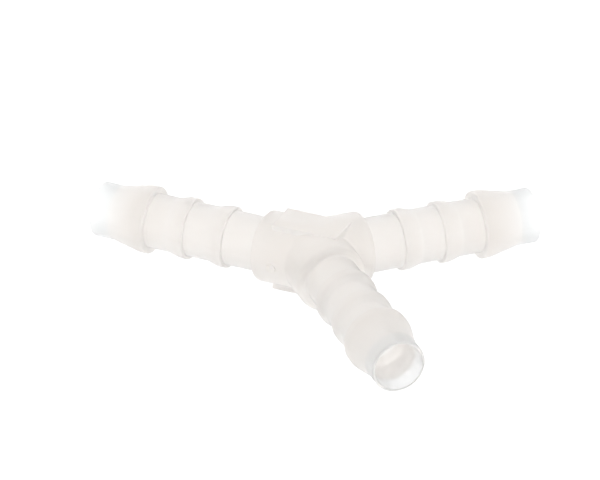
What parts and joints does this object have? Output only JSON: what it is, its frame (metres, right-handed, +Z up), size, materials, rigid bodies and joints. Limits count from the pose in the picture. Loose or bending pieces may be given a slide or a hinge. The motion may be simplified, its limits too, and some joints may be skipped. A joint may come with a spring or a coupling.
{
  "type": "barbed hose connector",
  "caption": "Wye-shaped barbed connector that joins soft hoses at a hollow hub with flat pads, moulded in natural translucent polypropylene.",
  "frame": {"origin": "on the lower pad's face, straight below the point where the three bore axes meet", "axes": "+Z up through the hub, -X along the stem, the branches at 45 degrees either side of +X"},
  "size_m": [0.0937, 0.0826, 0.0164],
  "materials": {
    "natural_polypropylene": "as moulded, semi-matt, milky and translucent"
  },
  "bodies": {
    "root": {"hub_body": "natural_polypropylene", "top_pad": "natural_polypropylene", "bottom_pad": "natural_polypropylene", "gate_mark": "natural_polypropylene", "stem_root_tube": "natural_polypropylene", "stem_inner_barb": "natural_polypropylene", "stem_middle_barb": "natural_polypropylene", "stem_end_barb": "natural_polypropylene", "left_branch_root_tube": "natural_polypropylene", "left_branch_inner_barb": "natural_polypropylene", "left_branch_middle_barb": "natural_polypropylene", "left_branch_end_barb": "natural_polypropylene", "right_branch_root_tube": "natural_polypropylene", "right_branch_inner_barb": "natural_polypropylene", "right_branch_middle_barb": "natural_polypropylene", "right_branch_end_barb": "natural_polypropylene"}
  },
  "joints": []
}
